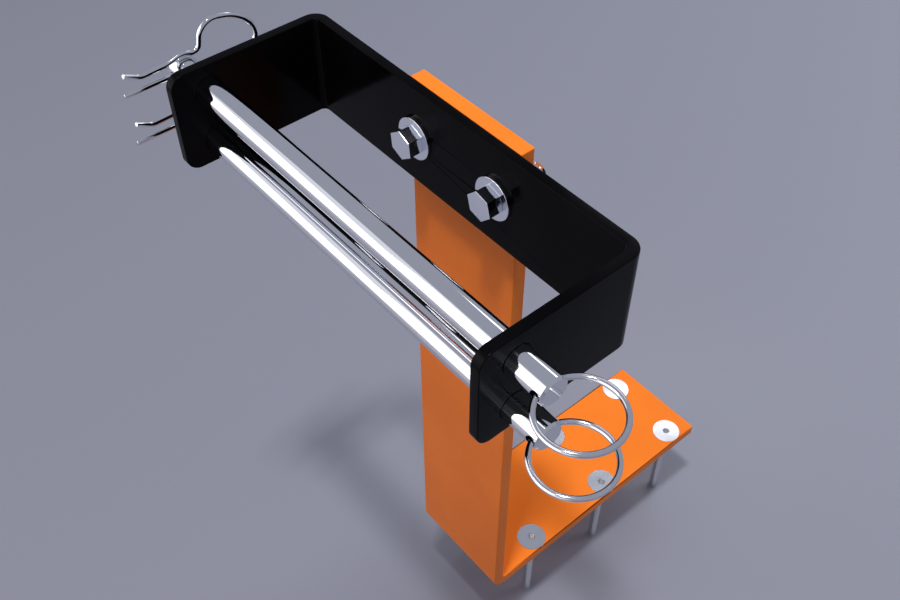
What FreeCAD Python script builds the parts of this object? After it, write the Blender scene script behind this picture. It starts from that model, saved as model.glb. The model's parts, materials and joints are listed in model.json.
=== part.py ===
import FreeCAD, Part
import math
import os
import Sketcher

# Pin-locked ground bracket.
# A flat steel bar bent into an L is screwed to the ground by its foot. A strap bent into a U, the
# yoke, is bolted to the top of the upright, and two round cross pins close the yoke's open mouth.
# Each pin carries a pull ring at its right end and is kept in place by an R-clip at its left end.
#
# Frame: millimetres, +X to the right along the pins, +Y backwards along the foot, +Z up.
# Origin: centre of the foot's underside, so the foot spans +-foot_deep/2 in Y.

V = FreeCAD.Vector
os.makedirs("parts", exist_ok=True)
doc = FreeCAD.newDocument("pin_lock_bracket")
sheet = doc.addObject("Spreadsheet::Sheet", "Sizes")

SIZES = [
    ("bar_wide", 80.0, "width of the L-bracket's flat bar"),
    ("bar_thick", 8.5, "thickness of that bar"),
    ("foot_deep", 220.0, "front face of the upright to the back edge of the foot"),
    ("upright_high", 414.0, "underside of the foot to the top of the upright"),
    ("bend_inside", 3.5, "inside radius of the L bend"),
    ("yoke_wide", 235.0, "outside width over the two arms"),
    ("yoke_reach", 93.0, "back of the web to the tips of the arms"),
    ("yoke_high", 58.0, "height of the strap"),
    ("yoke_thick", 5.5, "thickness of the strap"),
    ("yoke_bend", 3.2, "inside radius of the strap's two bends"),
    ("arm_round", 8.0, "corner radius at the tips of the arms"),
    ("pin_dia", 15.0, "diameter of a cross pin"),
    ("pin_long", 278.0, "length of a cross pin"),
    ("pin_bevel", 1.0, "chamfer at both ends of a pin"),
    ("pin_back", 73.2, "pin axis in front of the back of the web"),
    ("pin_gap", 29.5, "distance between the two pin axes"),
    ("pin_bore", 15.1, "hole for a pin in an arm"),
    ("ring_hole", 5.2, "cross hole for the pull ring"),
    ("ring_hole_x", 135.2, "middle of the pin to the ring's cross hole"),
    ("ring_mean", 18.2, "radius of the ring's wire centre line"),
    ("ring_wire", 2.7, "wire diameter of the ring"),
    ("clip_hole", 3.8, "cross hole for the R-clip"),
    ("clip_hole_x", 134.6, "middle of the pin to the clip's cross hole"),
    ("clip_wire", 3.0, "wire diameter of the R-clip"),
    ("bolt_pitch", 59.0, "distance between the two bolts"),
    ("bolt_dia", 10.0, "shank of a bolt"),
    ("bolt_hole", 11.0, "bolt hole in the bar and in the web"),
    ("bolt_long", 32.0, "shank length under the head"),
    ("bolt_tip", 1.0, "chamfer at the end of a bolt"),
    ("hex_flats", 14.6, "across the flats of bolt head and nut"),
    ("head_high", 8.2, "height of a bolt head"),
    ("nut_high", 8.0, "height of a nut"),
    ("nut_bore", 10.1, "hole in a nut, around the shank"),
    ("washer_dia", 23.5, "outside diameter of a washer"),
    ("washer_bore", 10.5, "hole in a washer"),
    ("washer_thick", 2.2, "thickness of a washer"),
    ("screw_pitch_x", 57.0, "anchor screw columns"),
    ("screw_pitch_y", 76.0, "anchor screw rows"),
    ("screw_mid_y", 14.0, "middle row behind the origin"),
    ("screw_dia", 7.0, "shank of an anchor screw"),
    ("screw_head", 21.6, "countersunk head diameter"),
    ("screw_long", 80.0, "anchor screw, top of the head to the tip"),
    ("screw_hole", 7.8, "through hole for an anchor screw"),
    ("sink_gap", 0.3, "countersink larger than the head, on the diameter"),
    ("socket_flats", 5.0, "hexagon socket in the screw head"),
    ("socket_deep", 3.5, "depth of that socket"),
]
size = {}
for row, (alias, value, words) in enumerate(SIZES, start=1):
    sheet.set(f"A{row}", words)
    sheet.set(f"B{row}", f"{value:g}")
    sheet.setAlias(f"B{row}", alias)
    size[alias] = value
doc.recompute()

HALF_DEEP = size["foot_deep"] / 2          # the upright's front face is at Y = -HALF_DEEP
FRONT_Y = -HALF_DEEP
SHEET = "Sizes."


def body(label):
    """A new PartDesign body with its label."""
    made = doc.addObject("PartDesign::Body", label)
    made.Label = label
    return made


def sketch(owner, role, name):
    """A sketch on one of the body's own origin planes: XY_Plane, XZ_Plane or YZ_Plane."""
    plane = next(f for f in owner.Origin.OriginFeatures if f.Role == role)
    made = owner.newObject("Sketcher::SketchObject", name)
    made.AttachmentSupport = [(plane, "")]
    made.MapMode = "FlatFace"
    return made


def feature(owner, kind, name, profile, **expressions):
    """A PartDesign feature on a sketch, its sizes bound to the sheet."""
    made = owner.newObject(kind, name)
    made.Profile = profile
    for key, text in expressions.items():
        made.setExpression(key, text)
    return made


def polygon(target, points):
    """A closed outline of straight lines; returns the index of its first line."""
    first = len(target.Geometry)
    count = len(points)
    for i in range(count):
        a, b = points[i], points[(i + 1) % count]
        target.addGeometry(Part.LineSegment(V(*a, 0), V(*b, 0)), False)
    for i in range(count):
        target.addConstraint(
            Sketcher.Constraint("Coincident", first + i, 2, first + (i + 1) % count, 1))
    return first


def circle(target, x, y, dia_alias, centre=None):
    """A circle whose diameter, and centre if given, follow the sheet."""
    index = target.addGeometry(Part.Circle(V(x, y, 0), V(0, 0, 1), size[dia_alias] / 2), False)
    spot = target.addConstraint(Sketcher.Constraint("Diameter", index, size[dia_alias]))
    target.setExpression(f"Constraints[{spot}]", SHEET + dia_alias)
    if centre:
        for kind, value, text in (("DistanceX", x, centre[0]), ("DistanceY", y, centre[1])):
            spot = target.addConstraint(Sketcher.Constraint(kind, -1, 1, index, 3, value))
            target.setExpression(f"Constraints[{spot}]", text)
    return index


def place(owner, x="0", y="0", z="0"):
    """Bind the sub-part's position to the sheet."""
    for axis, text in (("x", x), ("y", y), ("z", z)):
        if text != "0":
            owner.setExpression(f"Placement.Base.{axis}", text)


def hexagon(target, flats_alias, turn=0.0):
    """A regular hexagon about the sketch's origin."""
    corner = size[flats_alias] / math.sqrt(3)
    points = []
    for i in range(6):
        angle = math.radians(60 * i + turn)
        points.append((corner * math.cos(angle), corner * math.sin(angle)))
    first = polygon(target, points)
    guide = target.addGeometry(Part.Circle(V(0, 0, 0), V(0, 0, 1), corner), True)
    target.addConstraint(Sketcher.Constraint("Coincident", guide, 3, -1, 1))
    for i in range(6):
        target.addConstraint(Sketcher.Constraint("PointOnObject", first + i, 1, guide))
    spot = target.addConstraint(Sketcher.Constraint("Radius", guide, corner))
    target.setExpression(f"Constraints[{spot}]", f"{SHEET}{flats_alias} / sqrt(3)")


def rounded_route(points, radii):
    """Lines and tangent arcs along a route in a plane; radii holds one radius per inner corner."""
    edges = []
    start = V(*points[0], 0)
    for i in range(1, len(points) - 1):
        corner = V(*points[i], 0)
        back = (V(*points[i - 1], 0) - corner).normalize()
        ahead = (V(*points[i + 1], 0) - corner).normalize()
        half = back.getAngle(ahead) / 2
        radius = radii[i - 1]
        reach = radius / math.tan(half)
        enter = corner + back * reach
        leave = corner + ahead * reach
        middle = corner + (back + ahead).normalize() * (radius / math.sin(half) - radius)
        edges.append(Part.LineSegment(start, enter))
        edges.append(Part.Arc(enter, middle, leave))
        start = leave
    edges.append(Part.LineSegment(start, V(*points[-1], 0)))
    return edges


# ---------------------------------------------------------------- L-bracket
def make_l_bracket():
    """The bent bar: foot, bend and upright, with countersunk and bolt holes."""
    bracket = body("l_bracket")
    thick = size["bar_thick"]
    high = size["upright_high"]
    outline = sketch(bracket, "YZ_Plane", "l_outline")
    corners = [
        (FRONT_Y, 0.0),
        (HALF_DEEP, 0.0),
        (HALF_DEEP, thick),
        (FRONT_Y + thick, thick),
        (FRONT_Y + thick, high),
        (FRONT_Y, high),
    ]
    polygon(outline, corners)
    lock = (
        ("DistanceX", 0, 1, FRONT_Y, "-Sizes.foot_deep / 2"),
        ("DistanceY", 0, 1, 0.0, None),
        ("DistanceX", 0, 2, HALF_DEEP, "Sizes.foot_deep / 2"),
        ("DistanceY", 0, 2, 0.0, None),
        ("DistanceY", 1, 2, thick, "Sizes.bar_thick"),
        ("DistanceX", 3, 1, FRONT_Y + thick, "Sizes.bar_thick - Sizes.foot_deep / 2"),
        ("DistanceY", 4, 2, high, "Sizes.upright_high"),
    )
    for kind, line, end, value, text in lock:
        spot = outline.addConstraint(Sketcher.Constraint(kind, -1, 1, line, end, value))
        if text:
            outline.setExpression(f"Constraints[{spot}]", text)
    for line in (1, 3, 5):
        outline.addConstraint(Sketcher.Constraint("Vertical", line))
    for line in (2, 4):
        outline.addConstraint(Sketcher.Constraint("Horizontal", line))
    bar = feature(bracket, "PartDesign::Pad", "l_bar", outline, Length="Sizes.bar_wide")
    bar.Midplane = True
    doc.recompute()

    def bend_edge(shape, y, z):
        """Name of the bar's long edge at this corner of the outline."""
        for i, edge in enumerate(shape.Edges, start=1):
            mid = edge.CenterOfMass
            if abs(mid.x) < 0.01 and abs(mid.y - y) < 0.01 and abs(mid.z - z) < 0.01:
                return f"Edge{i}"
        raise RuntimeError("no edge at this corner")

    inner = bracket.newObject("PartDesign::Fillet", "l_bend_inside")
    inner.Base = (bar, [bend_edge(bar.Shape, FRONT_Y + thick, thick)])
    inner.setExpression("Radius", "Sizes.bend_inside")
    doc.recompute()
    outer = bracket.newObject("PartDesign::Fillet", "l_bend_outside")
    outer.Base = (inner, [bend_edge(inner.Shape, FRONT_Y, 0.0)])
    outer.setExpression("Radius", "Sizes.bend_inside + Sizes.bar_thick")
    doc.recompute()

    # anchor screw holes, then a cone turned into the top of each
    spots = sketch(bracket, "XY_Plane", "screw_spots")
    for ix in (-1, 1):
        for iy in (-1, 0, 1):
            x = ix * size["screw_pitch_x"] / 2
            y = size["screw_mid_y"] + iy * size["screw_pitch_y"]
            circle(spots, x, y, "screw_hole",
                   (f"{ix} * Sizes.screw_pitch_x / 2",
                    f"Sizes.screw_mid_y + {iy} * Sizes.screw_pitch_y"))
    through = feature(bracket, "PartDesign::Pocket", "screw_holes", spots)
    through.Type = "ThroughAll"
    through.Midplane = True
    doc.recompute()
    for ix in (-1, 1):
        for iy in (-1, 0, 1):
            x = ix * size["screw_pitch_x"] / 2
            y = size["screw_mid_y"] + iy * size["screw_pitch_y"]
            top = (size["screw_head"] + size["sink_gap"]) / 2
            low = size["screw_hole"] / 2
            cone = sketch(bracket, "XZ_Plane", f"sink_{ix + 1}_{iy + 1}")
            cone.AttachmentOffset = FreeCAD.Placement(V(0, 0, -y), FreeCAD.Rotation())
            polygon(cone, [
                (x, thick - (top - low)),
                (x + low, thick - (top - low)),
                (x + top, thick),
                (x + top, thick + 1.0),
                (x, thick + 1.0),
            ])
            sink = feature(bracket, "PartDesign::Groove", f"countersink_{ix + 1}_{iy + 1}", cone)
            cone.addGeometry(Part.LineSegment(V(x, 0, 0), V(x, thick, 0)), True)
            sink.ReferenceAxis = (cone, ["Axis0"])
            sink.Angle = 360
            doc.recompute()

    # bolt holes near the top of the upright
    spots = sketch(bracket, "XZ_Plane", "bolt_spots")
    for ix in (-1, 1):
        circle(spots, ix * size["bolt_pitch"] / 2, high - size["yoke_high"] / 2, "bolt_hole",
               (f"{ix} * Sizes.bolt_pitch / 2", "Sizes.upright_high - Sizes.yoke_high / 2"))
    holes = feature(bracket, "PartDesign::Pocket", "bolt_holes", spots)
    holes.Type = "ThroughAll"
    holes.Midplane = True
    place(bracket)
    return bracket


# ---------------------------------------------------------------- yoke strap
def make_yoke():
    """The U strap, modelled about the back of its web at mid height."""
    strap = body("yoke_strap")
    half = size["yoke_wide"] / 2
    thick = size["yoke_thick"]
    reach = size["yoke_reach"]
    outline = sketch(strap, "XY_Plane", "u_outline")
    polygon(outline, [
        (-half, 0.0),
        (-half, -reach),
        (-half + thick, -reach),
        (-half + thick, -thick),
        (half - thick, -thick),
        (half - thick, -reach),
        (half, -reach),
        (half, 0.0),
    ])
    lock = (
        ("DistanceX", 0, 1, -half, "-Sizes.yoke_wide / 2"),
        ("DistanceY", 0, 1, 0.0, None),
        ("DistanceY", 0, 2, -reach, "-Sizes.yoke_reach"),
        ("DistanceX", 1, 2, -half + thick, "Sizes.yoke_thick - Sizes.yoke_wide / 2"),
        ("DistanceY", 2, 2, -thick, "-Sizes.yoke_thick"),
        ("DistanceX", 4, 1, half - thick, "Sizes.yoke_wide / 2 - Sizes.yoke_thick"),
        ("DistanceY", 5, 2, -reach, "-Sizes.yoke_reach"),
        ("DistanceX", 6, 1, half, "Sizes.yoke_wide / 2"),
    )
    for kind, line, end, value, text in lock:
        spot = outline.addConstraint(Sketcher.Constraint(kind, -1, 1, line, end, value))
        if text:
            outline.setExpression(f"Constraints[{spot}]", text)
    for line in (0, 2, 4, 6):
        outline.addConstraint(Sketcher.Constraint("Vertical", line))
    for line in (1, 3, 5, 7):
        outline.addConstraint(Sketcher.Constraint("Horizontal", line))
    bent = feature(strap, "PartDesign::Pad", "u_strap", outline, Length="Sizes.yoke_high")
    bent.Midplane = True
    doc.recompute()

    def edges_at(shape, spots):
        """Names of the edges whose middle lies at one of these points."""
        names = []
        for i, edge in enumerate(shape.Edges, start=1):
            mid = edge.CenterOfMass
            if any((mid - V(*spot)).Length < 0.01 for spot in spots):
                names.append(f"Edge{i}")
        if len(names) != len(spots):
            raise RuntimeError("an edge of the strap is missing")
        return names

    inner = strap.newObject("PartDesign::Fillet", "u_bends_inside")
    inner.Base = (bent, edges_at(bent.Shape, [
        (-half + thick, -thick, 0), (half - thick, -thick, 0)]))
    inner.setExpression("Radius", "Sizes.yoke_bend")
    doc.recompute()
    outer = strap.newObject("PartDesign::Fillet", "u_bends_outside")
    outer.Base = (inner, edges_at(inner.Shape, [(-half, 0, 0), (half, 0, 0)]))
    outer.setExpression("Radius", "Sizes.yoke_bend + Sizes.yoke_thick")
    doc.recompute()
    tips = strap.newObject("PartDesign::Fillet", "arm_tips")
    level = size["yoke_high"] / 2
    across = half - thick / 2
    tips.Base = (outer, edges_at(outer.Shape, [
        (side * across, -reach, up * level) for side in (-1, 1) for up in (-1, 1)]))
    tips.setExpression("Radius", "Sizes.arm_round")
    doc.recompute()

    spots = sketch(strap, "YZ_Plane", "pin_spots")
    for up in (-1, 1):
        circle(spots, -size["pin_back"], up * size["pin_gap"] / 2, "pin_bore",
               ("-Sizes.pin_back", f"{up} * Sizes.pin_gap / 2"))
    bores = feature(strap, "PartDesign::Pocket", "pin_bores", spots)
    bores.Type = "ThroughAll"
    bores.Midplane = True
    doc.recompute()
    spots = sketch(strap, "XZ_Plane", "web_spots")
    for ix in (-1, 1):
        circle(spots, ix * size["bolt_pitch"] / 2, 0.0, "bolt_hole",
               (f"{ix} * Sizes.bolt_pitch / 2", "0"))
    holes = feature(strap, "PartDesign::Pocket", "web_holes", spots)
    holes.Type = "ThroughAll"
    holes.Midplane = True
    place(strap, y="-Sizes.foot_deep / 2", z="Sizes.upright_high - Sizes.yoke_high / 2")
    return strap


PIN_Y = "-Sizes.foot_deep / 2 - Sizes.pin_back"
PIN_Z = {
    "upper": "Sizes.upright_high - Sizes.yoke_high / 2 + Sizes.pin_gap / 2",
    "lower": "Sizes.upright_high - Sizes.yoke_high / 2 - Sizes.pin_gap / 2",
}


# ---------------------------------------------------------------- cross pins
def make_pin(which):
    """A round pin along X with a bevel at both ends and two cross holes along Y."""
    pin = body(f"{which}_pin")
    round_section = sketch(pin, "YZ_Plane", f"{which}_pin_section")
    circle(round_section, 0.0, 0.0, "pin_dia", ("0", "0"))
    rod = feature(pin, "PartDesign::Pad", f"{which}_rod", round_section, Length="Sizes.pin_long")
    rod.Midplane = True
    doc.recompute()
    bevel = pin.newObject("PartDesign::Chamfer", f"{which}_bevel")
    ends = [f"Edge{i}" for i, e in enumerate(rod.Shape.Edges, start=1)
            if e.Curve.TypeId == "Part::GeomCircle"]
    bevel.Base = (rod, ends)
    bevel.setExpression("Size", "Sizes.pin_bevel")
    doc.recompute()
    spots = sketch(pin, "XZ_Plane", f"{which}_hole_spots")
    circle(spots, size["ring_hole_x"], 0.0, "ring_hole", ("Sizes.ring_hole_x", "0"))
    circle(spots, -size["clip_hole_x"], 0.0, "clip_hole", ("-Sizes.clip_hole_x", "0"))
    holes = feature(pin, "PartDesign::Pocket", f"{which}_cross_holes", spots)
    holes.Type = "ThroughAll"
    holes.Midplane = True
    place(pin, y=PIN_Y, z=PIN_Z[which])
    return pin


# ---------------------------------------------------------------- pull rings
def make_ring(which):
    """A closed wire ring lying flat, threaded through the pin's cross hole."""
    ring = doc.addObject("Part::Torus", f"{which}_pull_ring")
    ring.Label = f"{which}_pull_ring"
    ring.setExpression("Radius1", "Sizes.ring_mean")
    ring.setExpression("Radius2", "Sizes.ring_wire / 2")
    place(ring, x="Sizes.ring_hole_x + Sizes.ring_mean - 0.8", y=PIN_Y, z=PIN_Z[which])
    return ring


# ---------------------------------------------------------------- R-clips
# Route of the wire in the clip's own plane: first number backwards, second number up, both from
# the pin's axis. It starts at the tip of the straight leg, runs through the pin, turns back in
# the loop, pinches in behind the pin, rides over its top and flares up at the free tip.
CLIP_ROUTE = [
    (-35.3, 0.0),
    (43.6, 0.0),
    (43.2, 8.8),
    (34.0, 19.8),
    (17.8, 23.5),
    (11.5, 17.6),
    (9.5, 8.7),
    (5.0, 8.2),
    (0.0, 10.05),
    (-9.5, 7.4),
    (-24.5, 6.8),
    (-33.2, 10.9),
]
CLIP_RADII = [4.0, 13.0, 24.0, 10.0, 9.0, 3.4, 3.2, 9.3, 20.0, 10.0]


def make_clip(which):
    """A hairpin clip bent from one wire, swept along its route."""
    clip = body(f"{which}_r_clip")
    route = sketch(clip, "YZ_Plane", f"{which}_clip_route")
    for edge in rounded_route(CLIP_ROUTE, CLIP_RADII):
        route.addGeometry(edge, False)
    section = sketch(clip, "XZ_Plane", f"{which}_clip_section")
    section.AttachmentOffset = FreeCAD.Placement(V(0, 0, -CLIP_ROUTE[0][0]), FreeCAD.Rotation())
    circle(section, 0.0, 0.0, "clip_wire", ("0", "0"))
    doc.recompute()
    wire = clip.newObject("PartDesign::AdditivePipe", f"{which}_clip_wire")
    wire.Profile = section
    wire.Spine = (route, [])
    place(clip, x="-Sizes.clip_hole_x", y=PIN_Y, z=PIN_Z[which])
    return clip


# ---------------------------------------------------------------- bolts, washers, nuts
BOLT_Z = "Sizes.upright_high - Sizes.yoke_high / 2"
BOLT_X = {"left": "-Sizes.bolt_pitch / 2", "right": "Sizes.bolt_pitch / 2"}
HEAD_TURN = {"left": 36.0, "right": 45.0}


def make_bolt(side):
    """A hexagon bolt: the head's bearing face is at the body's origin, the shank runs along +Y."""
    bolt = body(f"{side}_hex_bolt")
    outline = sketch(bolt, "XZ_Plane", f"{side}_head_outline")
    hexagon(outline, "hex_flats", HEAD_TURN[side])
    head = feature(bolt, "PartDesign::Pad", f"{side}_head", outline, Length="Sizes.head_high")
    doc.recompute()
    if head.Shape.BoundBox.YMax > 0.01:
        head.Reversed = True
        doc.recompute()
    section = sketch(bolt, "XZ_Plane", f"{side}_shank_section")
    circle(section, 0.0, 0.0, "bolt_dia", ("0", "0"))
    shank = feature(bolt, "PartDesign::Pad", f"{side}_shank", section, Length="Sizes.bolt_long")
    shank.Reversed = True
    doc.recompute()
    if shank.Shape.BoundBox.YMax < 1.0:
        shank.Reversed = False
        doc.recompute()
    tip = bolt.newObject("PartDesign::Chamfer", f"{side}_shank_tip")
    names = []
    for i, edge in enumerate(shank.Shape.Edges, start=1):
        at_tip = abs(edge.CenterOfMass.y - size["bolt_long"]) < 0.01
        if edge.Curve.TypeId == "Part::GeomCircle" and at_tip:
            names.append(f"Edge{i}")
    tip.Base = (shank, names)
    tip.setExpression("Size", "Sizes.bolt_tip")
    place(bolt, x=BOLT_X[side], z=BOLT_Z,
          y="-Sizes.foot_deep / 2 - Sizes.yoke_thick - Sizes.washer_thick")
    return bolt


def make_washer(side, where):
    """A flat washer; the front one is under the head, the rear one under the nut."""
    label = f"{side}_{where}_washer"
    disc = doc.addObject("Part::Cylinder", label + "_disc")
    disc.setExpression("Radius", "Sizes.washer_dia / 2")
    disc.setExpression("Height", "Sizes.washer_thick")
    hole = doc.addObject("Part::Cylinder", label + "_hole")
    hole.setExpression("Radius", "Sizes.washer_bore / 2")
    hole.setExpression("Height", "Sizes.washer_thick")
    washer = doc.addObject("Part::Cut", label)
    washer.Label = label
    washer.Base = disc
    washer.Tool = hole
    washer.Placement.Rotation = FreeCAD.Rotation(V(1, 0, 0), -90)
    y = "-Sizes.foot_deep / 2 - Sizes.yoke_thick - Sizes.washer_thick"
    if where == "rear":
        y = "-Sizes.foot_deep / 2 + Sizes.bar_thick"
    place(washer, x=BOLT_X[side], y=y, z=BOLT_Z)
    return washer


def make_nut(side):
    """A hexagon nut whose bearing face is at the body's origin."""
    nut = body(f"{side}_hex_nut")
    outline = sketch(nut, "XZ_Plane", f"{side}_nut_outline")
    hexagon(outline, "hex_flats", 10.0)
    circle(outline, 0.0, 0.0, "nut_bore", ("0", "0"))
    block = feature(nut, "PartDesign::Pad", f"{side}_nut_block", outline, Length="Sizes.nut_high")
    doc.recompute()
    if block.Shape.BoundBox.YMax < 1.0:
        block.Reversed = True
    place(nut, x=BOLT_X[side], z=BOLT_Z,
          y="-Sizes.foot_deep / 2 + Sizes.bar_thick + Sizes.washer_thick")
    return nut


# ---------------------------------------------------------------- anchor screws
ROWS = {"front": -1, "middle": 0, "rear": 1}
COLUMNS = {"left": -1, "right": 1}


def make_screw(row, column):
    """A countersunk screw, head flush with the foot's top, with a hexagon socket."""
    label = f"{row}_{column}_anchor_screw"
    screw = body(label)
    top = size["bar_thick"]
    head = size["screw_head"] / 2
    shank = size["screw_dia"] / 2
    low = top - size["screw_long"]
    outline = sketch(screw, "XZ_Plane", label + "_outline")
    polygon(outline, [
        (0.0, top),
        (head, top),
        (shank, top - (head - shank)),
        (shank, low + 1.5),
        (shank - 1.5, low),
        (0.0, low),
    ])
    turned = feature(screw, "PartDesign::Revolution", label + "_turned", outline)
    turned.ReferenceAxis = (outline, ["V_Axis"])
    turned.Angle = 360
    doc.recompute()
    whole = turned.Shape.Volume
    socket = sketch(screw, "XY_Plane", label + "_socket")
    socket.AttachmentOffset = FreeCAD.Placement(V(0, 0, top), FreeCAD.Rotation())
    hexagon(socket, "socket_flats")
    recess = feature(screw, "PartDesign::Pocket", label + "_recess", socket,
                     Length="Sizes.socket_deep")
    doc.recompute()
    if screw.Shape.Volume > whole - 10.0:
        raise RuntimeError("the socket cut nothing")
    place(screw, x=f"{COLUMNS[column]} * Sizes.screw_pitch_x / 2",
          y=f"Sizes.screw_mid_y + {ROWS[row]} * Sizes.screw_pitch_y")
    return screw


pieces = [make_l_bracket(), make_yoke()]
for level in ("upper", "lower"):
    pieces += [make_pin(level), make_ring(level), make_clip(level)]
for side in ("left", "right"):
    pieces += [make_bolt(side), make_washer(side, "front"), make_washer(side, "rear"), make_nut(side)]
for row in ROWS:
    for column in COLUMNS:
        pieces.append(make_screw(row, column))
doc.recompute()

for item in doc.Objects:
    if "Invalid" in item.State or "Error" in item.State:
        raise RuntimeError(f"{item.Name} failed: {item.State}")
for piece in pieces:
    shape = piece.Shape
    if shape.isNull() or not shape.isValid() or len(shape.Solids) != 1:
        raise RuntimeError(f"{piece.Label} is not one valid solid")

for piece in pieces:
    piece.Shape.exportStep(f"parts/{piece.Label}.step")
    box = piece.Shape.BoundBox
    print(f"{piece.Label:28s} {piece.Shape.Volume:10.1f} mm3  "
          f"x {box.XMin:7.1f} {box.XMax:7.1f}  y {box.YMin:7.1f} {box.YMax:7.1f}  "
          f"z {box.ZMin:7.1f} {box.ZMax:7.1f}")
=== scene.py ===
# %% [markdown]
# # A pin-locked ground bracket, dressed for a render
# The model already has every piece at its true size and place, in metres. This lesson
# keeps that frame and adds what a maker sees: coatings, plating, softened edges and threads.

# %% Load the model
import json
import math
import bpy
from mathutils import Matrix, Quaternion, Vector


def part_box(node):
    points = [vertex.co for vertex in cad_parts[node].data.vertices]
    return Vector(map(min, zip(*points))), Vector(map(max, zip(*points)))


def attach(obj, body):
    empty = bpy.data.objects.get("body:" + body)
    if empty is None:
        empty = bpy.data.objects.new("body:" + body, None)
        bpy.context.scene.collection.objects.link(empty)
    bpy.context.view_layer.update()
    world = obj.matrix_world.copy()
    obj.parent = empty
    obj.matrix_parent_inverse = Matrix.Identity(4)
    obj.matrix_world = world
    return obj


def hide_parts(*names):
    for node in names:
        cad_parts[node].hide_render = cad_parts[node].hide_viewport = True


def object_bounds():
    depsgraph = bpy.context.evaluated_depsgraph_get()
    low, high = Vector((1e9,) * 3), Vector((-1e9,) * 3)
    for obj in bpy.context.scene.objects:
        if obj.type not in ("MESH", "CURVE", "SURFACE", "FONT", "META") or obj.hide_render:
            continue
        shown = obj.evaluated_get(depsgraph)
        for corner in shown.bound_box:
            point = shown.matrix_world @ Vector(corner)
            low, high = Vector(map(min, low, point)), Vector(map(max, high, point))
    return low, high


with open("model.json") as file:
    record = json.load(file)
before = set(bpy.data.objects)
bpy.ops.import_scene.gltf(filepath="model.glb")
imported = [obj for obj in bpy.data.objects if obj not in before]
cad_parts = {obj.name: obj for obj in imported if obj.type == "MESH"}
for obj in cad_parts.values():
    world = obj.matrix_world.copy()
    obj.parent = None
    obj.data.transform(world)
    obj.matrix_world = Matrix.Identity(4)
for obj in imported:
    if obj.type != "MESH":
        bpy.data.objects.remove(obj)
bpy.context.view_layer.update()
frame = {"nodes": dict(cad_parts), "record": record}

nodes = frame["nodes"]
print("nodes:", len(nodes))

# %% [markdown]
# Operators act on whatever is selected, and loading leaves everything selected. Two small
# helpers keep that under control: one clears the selection, the other picks a single object.

# %% Selection helpers
def clear_selection():
    """Back to object mode with nothing selected."""
    if bpy.context.object and bpy.context.object.mode != "OBJECT":
        bpy.ops.object.mode_set(mode="OBJECT")
    bpy.ops.object.select_all(action="DESELECT")


def pick(obj):
    """Select this object alone and make it active."""
    clear_selection()
    obj.select_set(True)
    bpy.context.view_layer.objects.active = obj


clear_selection()

# %% [markdown]
# ## Effects that several finishes share
# A shader node group is built once and placed in each material with its own numbers. Powder coat
# has a fine orange-peel skin over slow changes of tone. Drawn and turned metal has fine lines
# that run one way. Both groups give out plain values, so the material decides what to do with
# them.

# %% Shader group helpers
def new_group(name, inputs, outputs):
    """An empty group with float sockets."""
    group = bpy.data.node_groups.new(name, "ShaderNodeTree")
    for label, default in inputs:
        socket = group.interface.new_socket(label, in_out="INPUT", socket_type="NodeSocketFloat")
        socket.default_value = default
    for label in outputs:
        group.interface.new_socket(label, in_out="OUTPUT", socket_type="NodeSocketFloat")
    return group, group.nodes.new("NodeGroupInput"), group.nodes.new("NodeGroupOutput")


def make_coat_grain():
    """Height: orange-peel skin. Tone: slow drift of shade, 0 to 1."""
    group, inside, outside = new_group("coat_grain", [("Peel Scale", 650.0), ("Tone Scale", 14.0)],
                                       ["Height", "Tone"])
    place = group.nodes.new("ShaderNodeTexCoord")
    peel = group.nodes.new("ShaderNodeTexNoise")
    peel.inputs["Detail"].default_value = 3.0
    tone = group.nodes.new("ShaderNodeTexNoise")
    tone.inputs["Detail"].default_value = 4.0
    wide = group.nodes.new("ShaderNodeMapRange")
    wide.inputs["From Min"].default_value = 0.35
    wide.inputs["From Max"].default_value = 0.65
    link = group.links.new
    link(place.outputs["Object"], peel.inputs["Vector"])
    link(place.outputs["Object"], tone.inputs["Vector"])
    link(inside.outputs["Peel Scale"], peel.inputs["Scale"])
    link(inside.outputs["Tone Scale"], tone.inputs["Scale"])
    link(tone.outputs["Fac"], wide.inputs["Value"])
    link(peel.outputs["Fac"], outside.inputs["Height"])
    link(wide.outputs["Result"], outside.inputs["Tone"])
    return group


def make_metal_lines():
    """Lines: fine marks across the axis with the large scale. Smudge: slow handling marks."""
    group, inside, outside = new_group(
        "metal_lines", [("Scale X", 2500.0), ("Scale Y", 60.0), ("Scale Z", 60.0)],
        ["Lines", "Smudge"])
    place = group.nodes.new("ShaderNodeTexCoord")
    join = group.nodes.new("ShaderNodeCombineXYZ")
    stretch = group.nodes.new("ShaderNodeVectorMath")
    stretch.operation = "MULTIPLY"
    lines = group.nodes.new("ShaderNodeTexNoise")
    lines.inputs["Scale"].default_value = 1.0
    lines.inputs["Detail"].default_value = 2.0
    smudge = group.nodes.new("ShaderNodeTexNoise")
    smudge.inputs["Scale"].default_value = 55.0
    smudge.inputs["Detail"].default_value = 5.0
    link = group.links.new
    for axis in "XYZ":
        link(inside.outputs["Scale " + axis], join.inputs[axis])
    link(place.outputs["Object"], stretch.inputs[0])
    link(join.outputs["Vector"], stretch.inputs[1])
    link(stretch.outputs["Vector"], lines.inputs["Vector"])
    link(place.outputs["Object"], smudge.inputs["Vector"])
    link(lines.outputs["Fac"], outside.inputs["Lines"])
    link(smudge.outputs["Fac"], outside.inputs["Smudge"])
    return group


COAT_GRAIN = make_coat_grain()
METAL_LINES = make_metal_lines()

# %% [markdown]
# ## The finishes
# A number that is the same all over is set on the shader's own socket. Only what changes over the
# surface is wired: colour between two close shades, roughness within a narrow band, and a bump.

# %% Finish helpers
def start_finish(name):
    """A material with its shader ready."""
    finish = bpy.data.materials.new(name)
    finish.use_nodes = True
    return finish, finish.node_tree, finish.node_tree.nodes["Principled BSDF"]


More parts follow.
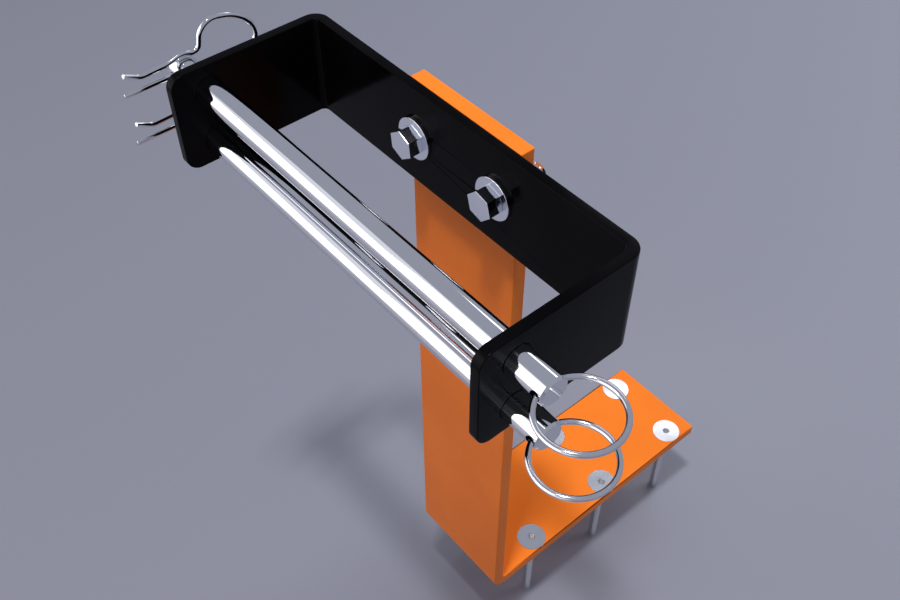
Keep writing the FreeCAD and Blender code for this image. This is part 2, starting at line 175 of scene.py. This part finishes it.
def put_group(tree, group, **values):
    """The group in this material, with its own numbers."""
    node = tree.nodes.new("ShaderNodeGroup")
    node.node_tree = group
    for label, value in values.items():
        node.inputs[label.replace("_", " ")].default_value = value
    return node


def wire_shades(tree, shader, factor, first, second):
    """Base colour drifts between two shades."""
    mix = tree.nodes.new("ShaderNodeMix")
    mix.data_type = "RGBA"
    mix.inputs[6].default_value = (*first, 1.0)
    mix.inputs[7].default_value = (*second, 1.0)
    tree.links.new(factor, mix.inputs[0])
    tree.links.new(mix.outputs[2], shader.inputs["Base Color"])


def wire_roughness(tree, shader, factor, low, high):
    """Roughness drifts within a band."""
    band = tree.nodes.new("ShaderNodeMapRange")
    band.inputs["From Min"].default_value = 0.3
    band.inputs["From Max"].default_value = 0.7
    band.inputs["To Min"].default_value = low
    band.inputs["To Max"].default_value = high
    tree.links.new(factor, band.inputs["Value"])
    tree.links.new(band.outputs["Result"], shader.inputs["Roughness"])


def wire_bump(tree, shader, height, strength, distance):
    """A bump from this height, distance in metres."""
    bump = tree.nodes.new("ShaderNodeBump")
    bump.inputs["Strength"].default_value = strength
    bump.inputs["Distance"].default_value = distance
    tree.links.new(height, bump.inputs["Height"])
    tree.links.new(bump.outputs["Normal"], shader.inputs["Normal"])


# %% [markdown]
# The bar is powder coated in orange: satin, with a faint peel. The strap is stoved gloss black,
# which is close to pure black and shows only faint reflections, so its specular level is low.

# %% Coatings
def make_powder_orange():
    """Satin orange powder coat."""
    finish, tree, shader = start_finish("orange_powder_coat")
    grain = put_group(tree, COAT_GRAIN, Peel_Scale=650.0, Tone_Scale=12.0)
    wire_shades(tree, shader, grain.outputs["Tone"],
                (0.84, 0.200, 0.015), (0.76, 0.173, 0.012))
    wire_roughness(tree, shader, grain.outputs["Height"], 0.36, 0.50)
    wire_bump(tree, shader, grain.outputs["Height"], 0.22, 0.00018)
    shader.inputs["Specular IOR Level"].default_value = 0.17
    return finish


def make_gloss_black():
    """Gloss black stoved coat."""
    finish, tree, shader = start_finish("gloss_black_coat")
    grain = put_group(tree, COAT_GRAIN, Peel_Scale=420.0, Tone_Scale=20.0)
    wire_shades(tree, shader, grain.outputs["Tone"],
                (0.0010, 0.0009, 0.0012), (0.0022, 0.0021, 0.0026))
    wire_roughness(tree, shader, grain.outputs["Tone"], 0.13, 0.22)
    wire_bump(tree, shader, grain.outputs["Height"], 0.10, 0.00010)
    shader.inputs["Specular IOR Level"].default_value = 0.045
    return finish


# %% [markdown]
# Pins, rings and clips are bright plated. Turned bar has marks round it, so the pins' lines
# are close together along X. Drawn wire is smoother. The fasteners are zinc plated and duller.

# %% Metals
def make_metal(name, first, second, low, high, scales, strength):
    """Bare metal between two shades, with a roughness band and lines of these scales."""
    finish, tree, shader = start_finish(name)
    lines = put_group(tree, METAL_LINES, Scale_X=scales[0], Scale_Y=scales[1], Scale_Z=scales[2])
    wire_shades(tree, shader, lines.outputs["Smudge"], first, second)
    wire_roughness(tree, shader, lines.outputs["Smudge"], low, high)
    wire_bump(tree, shader, lines.outputs["Lines"], strength, 0.00003)
    shader.inputs["Metallic"].default_value = 1.0
    return finish


FINISHES = {
    "orange_powder_coat": make_powder_orange(),
    "gloss_black_coat": make_gloss_black(),
    "pin_chrome": make_metal("pin_chrome", (0.86, 0.87, 0.90), (0.80, 0.81, 0.84),
                             0.03, 0.075, (2600.0, 50.0, 50.0), 0.05),
    "ring_wire": make_metal("ring_wire", (0.84, 0.85, 0.88), (0.74, 0.75, 0.79),
                            0.05, 0.12, (300.0, 300.0, 2200.0), 0.05),
    "clip_wire": make_metal("clip_wire", (0.84, 0.85, 0.88), (0.76, 0.77, 0.80),
                            0.05, 0.11, (2200.0, 90.0, 300.0), 0.05),
    "bolt_zinc": make_metal("bolt_zinc", (0.93, 0.95, 1.0), (0.84, 0.87, 0.94),
                            0.06, 0.12, (900.0, 900.0, 900.0), 0.05),
    "washer_zinc": make_metal("washer_zinc", (0.92, 0.94, 0.99), (0.82, 0.84, 0.91),
                              0.05, 0.10, (1200.0, 200.0, 1200.0), 0.05),
    "anchor_screw_steel": make_metal("anchor_screw_steel", (0.78, 0.79, 0.82), (0.66, 0.67, 0.71),
                                     0.14, 0.26, (1000.0, 1000.0, 200.0), 0.10),
}
print("finishes:", len(FINISHES))

# %% [markdown]
# The model names a slot for every node, and each slot has its finish.

# %% Every node takes the finish of its slot
slot_of = {part["node"]: part["material_slot"] for part in frame["record"]["subparts"]}


def dress(obj, slot):
    """One finish on the whole object."""
    obj.data.materials.clear()
    obj.data.materials.append(FINISHES[slot])


for name, node in nodes.items():
    dress(node, slot_of[name])

# %% [markdown]
# ## Softened edges
# No sheared or pressed steel edge is perfectly sharp, and a thin round edge is what catches the
# light. The model's own meshes must stay as they are, so each piece is copied, its loose
# triangles are merged, and a small bevel rounds only the sharp edges. Flat faces stay triangles,
# because one big face cannot have holes in it.

# %% Copies with a fine round edge
def body_of(node_name):
    """The body that this node belongs to."""
    for body, members in frame["record"]["behaviour"]["bodies"].items():
        if node_name in members:
            return body
    raise RuntimeError(node_name + " is in no body")


def clean_copy(node_name, new_name):
    """A merged copy of a node, free of its parent."""
    source = nodes[node_name]
    made = source.copy()
    made.data = source.data.copy()
    made.name = new_name
    made.data.name = new_name
    for key in list(made.keys()):
        del made[key]
    made.parent = None
    made.matrix_world = Matrix.Identity(4)
    bpy.context.scene.collection.objects.link(made)
    pick(made)
    bpy.ops.object.mode_set(mode="EDIT")
    bpy.ops.mesh.select_all(action="SELECT")
    bpy.ops.mesh.remove_doubles(threshold=0.000002)
    bpy.ops.object.mode_set(mode="OBJECT")
    return made


BEVEL_ABOVE = math.radians(40)
SMOOTH_BELOW = math.radians(35)
SMALL_EDGE = 0.00025
EDGE_WIDTHS = {"l_bracket": 0.0006, "yoke_strap": 0.0005}


def round_edges(obj, width, segments=2):
    """A bevel on sharp edges, smooth shading up to 35 degrees, and large faces kept flat."""
    pick(obj)
    bevel = obj.modifiers.new("fine_edge", "BEVEL")
    bevel.width = width
    bevel.segments = segments
    bevel.limit_method = "ANGLE"
    bevel.angle_limit = BEVEL_ABOVE
    bevel.use_clamp_overlap = False
    bpy.ops.object.modifier_apply(modifier=bevel.name)
    bpy.ops.object.shade_smooth_by_angle(angle=SMOOTH_BELOW)
    flatten = obj.modifiers.new("flat_faces", "WEIGHTED_NORMAL")
    flatten.keep_sharp = True
    flatten.weight = 100
    bpy.ops.object.modifier_apply(modifier=flatten.name)
    return obj


def stand_in(obj, node_name):
    """obj rides with the node's body, takes its slot and replaces it."""
    dress(obj, slot_of[node_name])
    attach(obj, body_of(node_name))
    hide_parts(node_name)
    return obj


for name, width in EDGE_WIDTHS.items():
    stand_in(round_edges(clean_copy(name, name + "_finished"), width), name)
for side in ("left", "right"):
    for part in ("front_washer", "rear_washer", "hex_nut"):
        name = f"{side}_{part}"
        stand_in(round_edges(clean_copy(name, name + "_finished"), SMALL_EDGE), name)
print("edges softened")

# %% [markdown]
# ## Threads
# A turned shape grows from a disc: its face is pushed along the axis and scaled, again and again.
# Pushed along and drawn in, then pushed along and let out, it gives the V grooves of a thread. At
# this size the slope of a helix would not be seen, so the bolts' ends have closed grooves.

# %% The thread tool
FINE_SMOOTH = math.radians(28)


def start_ring(name, radius, height, sides=40):
    """A closed disc at this height, with only its rim selected, in edit mode."""
    clear_selection()
    bpy.ops.mesh.primitive_circle_add(vertices=sides, radius=radius, fill_type="NGON",
                                      location=(0, 0, height))
    made = bpy.context.object
    made.name = name
    made.data.name = name
    bpy.ops.object.transform_apply(location=True, rotation=True, scale=True)
    bpy.ops.object.mode_set(mode="EDIT")
    bpy.ops.mesh.select_mode(type="FACE")
    bpy.ops.mesh.select_all(action="SELECT")
    return made


def push_ring(rise, scale):
    """Extrude the selected face upwards and scale its rim about the Z axis."""
    bpy.ops.mesh.extrude_region_move(TRANSFORM_OT_translate={"value": (0, 0, rise)})
    bpy.ops.transform.resize(value=(scale, scale, 1))


def push_thread(length, pitch, outer, inner):
    """V grooves up the shank, starting and ending at the outer radius."""
    turns = max(1, round(length / pitch))
    step = length / turns / 2
    for _ in range(turns):
        push_ring(step, inner / outer)
        push_ring(step, outer / inner)


def close_and_face_out(obj):
    """Leave edit mode with all faces pointing outwards."""
    bpy.ops.mesh.select_all(action="SELECT")
    bpy.ops.mesh.remove_doubles(threshold=0.000001)
    bpy.ops.mesh.normals_make_consistent(inside=False)
    bpy.ops.object.mode_set(mode="OBJECT")
    pick(obj)
    bpy.ops.object.shade_smooth_by_angle(angle=FINE_SMOOTH)


# %% [markdown]
# ### Anchor screws
# Each anchor screw is a countersunk head on a long smooth shank with a bevelled tip. One is
# built at the origin, from the tip upwards, a hexagon socket is cut in, and six copies are
# moved into the places of the model's screws.

# %% One anchor screw
screw_low, screw_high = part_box("front_left_anchor_screw")
screw_long = screw_high.z - screw_low.z
head_radius = (screw_high.x - screw_low.x) / 2
shank_radius = 0.0035
tip_bevel = 0.0015
head_rim = 0.0002
head_deep = head_radius - shank_radius

screw = start_ring("anchor_screw_master", shank_radius - tip_bevel, 0.0)
push_ring(tip_bevel, shank_radius / (shank_radius - tip_bevel))
push_ring(screw_long - tip_bevel - head_deep, 1.0)
push_ring(head_deep - head_rim, (head_radius - head_rim) / shank_radius)
push_ring(head_rim, head_radius / (head_radius - head_rim))
close_and_face_out(screw)
print("anchor screw:", round(screw_long * 1000, 1), "mm long, head",
      round(head_radius * 2000, 1), "mm")

# %% [markdown]
# The socket is cut by a six-sided cylinder, half of which stands above the head.

# %% Its hexagon socket
clear_selection()
socket_flats = 0.005
socket_deep = 0.0035
bpy.ops.mesh.primitive_cylinder_add(vertices=6, radius=socket_flats / math.sqrt(3),
                                    depth=2 * socket_deep, location=(0, 0, screw_long))
cutter = bpy.context.object
cutter.name = "socket_cutter"
pick(screw)
cut = screw.modifiers.new("socket", "BOOLEAN")
cut.operation = "DIFFERENCE"
cut.solver = "EXACT"
cut.object = cutter
bpy.ops.object.modifier_apply(modifier=cut.name)
bpy.ops.object.shade_smooth_by_angle(angle=FINE_SMOOTH)
bpy.data.objects.remove(cutter)

# %% [markdown]
# Every screw gets a mesh of its own, moved so that its tip and axis are where the model has them.

# %% Six screws in their places
for row in ("front", "middle", "rear"):
    for column in ("left", "right"):
        name = f"{row}_{column}_anchor_screw"
        low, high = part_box(name)
        made = screw.copy()
        made.data = screw.data.copy()
        made.name = name + "_turned"
        made.data.name = made.name
        bpy.context.scene.collection.objects.link(made)
        made.data.transform(Matrix.Translation(((low.x + high.x) / 2, (low.y + high.y) / 2, low.z)))
        stand_in(made, name)
bpy.data.objects.remove(screw)
print("anchor screws placed: 6")

# %% [markdown]
# ### Bolts
# The model's bolt has the right head, at the right turn, so a copy keeps it. Behind the nut the
# plain shank is cut away with a bisect and a short threaded end takes its place.

# %% Bolt heads with a fine edge and threaded ends
BOLT_RADIUS = 0.005
BOLT_ROOT = 0.0043
BOLT_PITCH = 0.0015
BOLT_TIP = 0.001
CUT_INSIDE_NUT = 0.0005


def make_bolt(side):
    """The bolt on this side, ready to stand in for the plain one."""
    name = f"{side}_hex_bolt"
    bolt_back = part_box(name)[1].y
    nut_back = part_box(f"{side}_hex_nut")[1].y
    washer_low, washer_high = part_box(f"{side}_front_washer")
    centre_x = (washer_low.x + washer_high.x) / 2
    centre_z = (washer_low.z + washer_high.z) / 2
    cut_y = nut_back - CUT_INSIDE_NUT
    made = clean_copy(name, name + "_finished")
    bpy.ops.object.mode_set(mode="EDIT")
    bpy.ops.mesh.select_all(action="SELECT")
    bpy.ops.mesh.bisect(plane_co=(0, cut_y, 0), plane_no=(0, 1, 0), use_fill=True,
                        clear_outer=True)
    bpy.ops.object.mode_set(mode="OBJECT")
    round_edges(made, SMALL_EDGE)
    end = start_ring(name + "_end", BOLT_RADIUS, 0.0)
    push_thread(bolt_back - cut_y - BOLT_TIP, BOLT_PITCH, BOLT_RADIUS, BOLT_ROOT)
    push_ring(BOLT_TIP, 0.8)
    close_and_face_out(end)
    end.data.transform(Matrix.Rotation(math.radians(-90), 4, "X"))
    end.data.transform(Matrix.Translation((centre_x, cut_y, centre_z)))
    clear_selection()
    end.select_set(True)
    made.select_set(True)
    bpy.context.view_layer.objects.active = made
    bpy.ops.object.join()
    return stand_in(made, name)


for side in ("left", "right"):
    make_bolt(side)
print("fasteners done")

# %% [markdown]
# ## Pins
# A pin is a length of bright bar with both ends chamfered, drilled across for the clip and for the
# ring. A mirror finish shows every facet, so the bar is turned afresh with many sides and drilled
# by cutting two small cylinders out of it. The bar lies along X, at the model's pin axis.

# %% The pin tool
PIN_SIDES = 128
PIN_BEVEL = 0.001
RING_HOLE_X = 0.1352
RING_HOLE_RADIUS = 0.0026
CLIP_HOLE_RADIUS = 0.0019
DRILL_LONG = 0.03


def axis_cylinder(name, radius, length, axis, centre, sides):
    """A cylinder along a world axis, its place in its mesh."""
    clear_selection()
    bpy.ops.mesh.primitive_cylinder_add(vertices=sides, radius=radius, depth=length)
    made = bpy.context.object
    made.name = name
    made.data.name = name
    if axis == "X":
        made.data.transform(Matrix.Rotation(math.radians(90), 4, "Y"))
    elif axis == "Y":
        made.data.transform(Matrix.Rotation(math.radians(90), 4, "X"))
    made.data.transform(Matrix.Translation(centre))
    return made


def drill(obj, radius, axis, centre):
    """Cut a cross hole and remove the drill."""
    tool = axis_cylinder("drill", radius, DRILL_LONG, axis, centre, 40)
    pick(obj)
    cut = obj.modifiers.new("hole", "BOOLEAN")
    cut.operation = "DIFFERENCE"
    cut.solver = "EXACT"
    cut.object = tool
    bpy.ops.object.modifier_apply(modifier=cut.name)
    bpy.data.objects.remove(tool)


def turn_pin(level):
    """The bright pin of this level, drilled for its ring and its clip."""
    low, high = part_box(f"{level}_pin")
    middle = (low + high) / 2
    pin = axis_cylinder(f"{level}_pin_turned", (high.z - low.z) / 2, high.x - low.x, "X", middle,
                        PIN_SIDES)
    round_edges(pin, PIN_BEVEL, segments=1)
    clip_low, clip_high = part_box(f"{level}_r_clip")
    clip_x = (clip_low.x + clip_high.x) / 2
    drill(pin, RING_HOLE_RADIUS, "Y", Vector((RING_HOLE_X, middle.y, middle.z)))
    drill(pin, CLIP_HOLE_RADIUS, "Y", Vector((clip_x, middle.y, middle.z)))
    pick(pin)
    bpy.ops.object.shade_smooth_by_angle(angle=math.radians(30))
    return stand_in(pin, f"{level}_pin")


# %% [markdown]
# The two pins are alike, one above the other.

# %% Two pins
for level in ("upper", "lower"):
    turn_pin(level)
print("pins turned: 2")

# %% [markdown]
# ## Pull rings
# A ring is round wire bent into a circle and hooked through the cross hole. The torus operator
# gives exactly that once it stands in the plane of the pin, and fine segments keep the highlights
# smooth.

# %% Two rings
def bend_ring(level):
    """A smooth wire ring of the plain ring's size and place."""
    low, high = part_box(f"{level}_pull_ring")
    middle = (low + high) / 2
    wire = (high.z - low.z) / 2
    clear_selection()
    bpy.ops.mesh.primitive_torus_add(major_radius=(high.x - low.x) / 2 - wire, minor_radius=wire,
                                     major_segments=144, minor_segments=24)
    ring = bpy.context.object
    ring.name = f"{level}_ring_bent"
    ring.data.name = ring.name
    ring.data.transform(Matrix.Translation(middle))
    pick(ring)
    bpy.ops.object.shade_smooth()
    return stand_in(ring, f"{level}_pull_ring")


for level in ("upper", "lower"):
    bend_ring(level)
print("rings bent: 2")

# %% [markdown]
# ## R-clips
# A clip is one spring wire. Its straight leg passes through the pin, the wire turns back in a round
# loop, pinches in behind the pin, rides over the top and flares up at its free end. The route below
# gives the corners in the clip's plane in millimetres, backwards and up from the pin's axis, and
# each corner is rounded by an arc before a round section follows the line.

# %% Rounded route of the wire
CLIP_CORNERS = [(-35.3, 0.0, 0), (43.6, 0.0, 4.0), (43.2, 8.8, 13.0), (34.0, 19.8, 24.0),
                (17.8, 23.5, 10.0), (11.5, 17.6, 9.0), (9.5, 8.7, 3.4), (5.0, 8.2, 3.2),
                (0.0, 10.05, 9.3), (-9.5, 7.4, 20.0), (-24.5, 6.8, 10.0), (-33.2, 10.9, 0)]


def rounded_line(corners, step_degrees=4):
    """Points along straight runs joined by tangent arcs."""
    line = [Vector(corners[0][:2])]
    for before, corner, after in zip(corners, corners[1:], corners[2:]):
        middle = Vector(corner[:2])
        back = (Vector(before[:2]) - middle).normalized()
        ahead = (Vector(after[:2]) - middle).normalized()
        half = back.angle(ahead) / 2
        reach = corner[2] / math.tan(half)
        centre = middle + (back + ahead).normalized() * corner[2] / math.sin(half)
        first = middle + back * reach - centre
        sweep = first.angle_signed(middle + ahead * reach - centre)
        count = max(2, math.ceil(abs(math.degrees(sweep)) / step_degrees))
        for i in range(count + 1):
            turned = Matrix.Rotation(-sweep * i / count, 2) @ first
            line.append(centre + turned)
    line.append(Vector(corners[-1][:2]))
    return line


# %% [markdown]
# The line is given a round section and made a mesh at once. Its ends are rounded like cut wire.

# %% One wire and its two places
def bend_clip(level):
    """A smooth spring clip for this level."""
    low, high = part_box(f"{level}_r_clip")
    pin_low, pin_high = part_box(f"{level}_pin")
    axis_point = Vector(((low.x + high.x) / 2, (pin_low.y + pin_high.y) / 2,
                         (pin_low.z + pin_high.z) / 2))
    data = bpy.data.curves.new(f"{level}_clip_line", "CURVE")
    data.dimensions = "3D"
    data.bevel_depth = (high.x - low.x) / 2
    data.bevel_resolution = 6
    data.use_fill_caps = True
    line = rounded_line(CLIP_CORNERS)
    spline = data.splines.new("POLY")
    spline.points.add(len(line) - 1)
    for point, (back, up) in zip(spline.points, line):
        point.co = (axis_point.x, axis_point.y + back / 1000, axis_point.z + up / 1000, 1.0)
    clip = bpy.data.objects.new(f"{level}_clip_bent", data)
    bpy.context.scene.collection.objects.link(clip)
    pick(clip)
    bpy.ops.object.convert(target="MESH")
    clip = bpy.context.object
    bpy.ops.object.mode_set(mode="EDIT")
    bpy.ops.mesh.select_all(action="SELECT")
    bpy.ops.mesh.remove_doubles(threshold=0.00002)
    bpy.ops.mesh.normals_make_consistent(inside=False)
    bpy.ops.object.mode_set(mode="OBJECT")
    round_edges(clip, 0.0004, segments=3)
    bpy.ops.object.shade_smooth_by_angle(angle=math.radians(50))
    return stand_in(clip, f"{level}_r_clip")


for level in ("upper", "lower"):
    clip = bend_clip(level)
    print(level, "clip faces:", len(clip.data.polygons))

# %% [markdown]
# ## Floor, light and camera
# A plain floor carries the tips of the screws. The main light is small and nearly overhead, a
# little to the front and the right, which gives the upright a short shadow behind it. Mirror-
# bright metal shows what stands round it, so white cards in front and overhead give the pins
# their wide white bands. Those cards are seen by reflections only and leave the matt surfaces
# alone. A soft light behind lifts the far floor, and a small card there whitens the rear screw
# heads.

# %% Floor
floor_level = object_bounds()[0].z
clear_selection()
bpy.ops.mesh.primitive_plane_add(size=14.0, location=(0, 0, floor_level))
floor = bpy.context.object
floor.name = "studio_floor"
floor_finish, _, floor_shader = start_finish("studio_floor")
floor_shader.inputs["Base Color"].default_value = (0.215, 0.224, 0.274, 1.0)
floor_shader.inputs["Roughness"].default_value = 0.28
floor_shader.inputs["Specular IOR Level"].default_value = 0.5
floor.data.materials.append(floor_finish)

# %% [markdown]
# Every light is a flat panel, like a softbox. The brightness given is that of the panel's face, so
# a larger panel gives more light at the same setting, and its energy follows from its area.

# %% Lights
def add_panel(name, place, target, width, height, radiance, lights_matt=True, roll=0.0):
    """A soft panel of this brightness, facing a target.

    With lights_matt off it is seen in reflections only."""
    data = bpy.data.lights.new(name, "AREA")
    data.shape = "RECTANGLE"
    data.size = width
    data.size_y = height
    data.energy = radiance * math.pi * width * height
    lamp = bpy.data.objects.new(name, data)
    bpy.context.scene.collection.objects.link(lamp)
    lamp.location = place
    aim = Vector(target) - Vector(place)
    leaned = aim.to_track_quat("-Z", "Y") @ Quaternion((0, 0, 1), math.radians(roll))
    lamp.rotation_euler = leaned.to_euler()
    lamp.visible_diffuse = lights_matt
    return lamp


toward_key = Vector((37.0, -93.5, 405.5)).normalized()
key_target = (0, 0, 0.1)
key_distance = 2.6
key_place = Vector(key_target) + toward_key * key_distance
add_panel("key_light", key_place, key_target, 0.20, 0.20, 330.0)
add_panel("front_card", (-1.8, -1.6, 0.25), (-1.8, 0.0, 0.25), 5.4, 2.4, 1.3,
          lights_matt=False, roll=-30)
add_panel("upper_card", (-0.96, -1.6, 1.70), (-0.96, 0.0, 1.70), 5.4, 0.9, 0.45,
          lights_matt=False, roll=-30)
front_fill = add_panel("front_fill", (-0.5, -2.6, 1.6), (0, -0.1, 0.2), 2.4, 1.6, 2.0)
front_fill.data.color = (1.0, 0.80, 0.72)
add_panel("rear_card", (-0.61, 1.2, 1.53), (0.02, 0.09, 0.0), 0.6, 0.32, 1.7)
back_fill = add_panel("back_fill", (0.2, 1.9, 1.3), (0.0, 0.3, 0.0), 1.8, 1.2, 4.0)
back_fill.visible_glossy = False

world = bpy.data.worlds.new("studio")
bpy.context.scene.world = world
world.use_nodes = True
sky = world.node_tree.nodes["Background"]
sky.inputs["Color"].default_value = (0.40, 0.42, 0.50, 1.0)
sky.inputs["Strength"].default_value = 0.80
bpy.context.scene.view_settings.view_transform = "Standard"

# %% [markdown]
# The camera stands in front, to the right and above, and looks down on the yoke.

# %% Camera
camera_data = bpy.data.cameras.new("camera")
camera_data.sensor_width = 36.0
camera_data.lens = 41.755
camera_data.clip_start = 0.01
camera = bpy.data.objects.new("camera", camera_data)
bpy.context.scene.collection.objects.link(camera)
camera.location = (0.29893, -0.36996, 0.71577)
looks_left, looks_down, leans = 49.931, 47.417, -0.128
turn = Matrix.Rotation(math.radians(looks_left), 3, "Z")
tilt = Matrix.Rotation(math.radians(90.0 - looks_down), 3, "X")
roll = Matrix.Rotation(math.radians(leans), 3, "Z")
camera.rotation_euler = (turn @ tilt @ roll).to_euler()
bpy.context.scene.camera = camera
print("camera lens:", camera_data.lens, "mm")
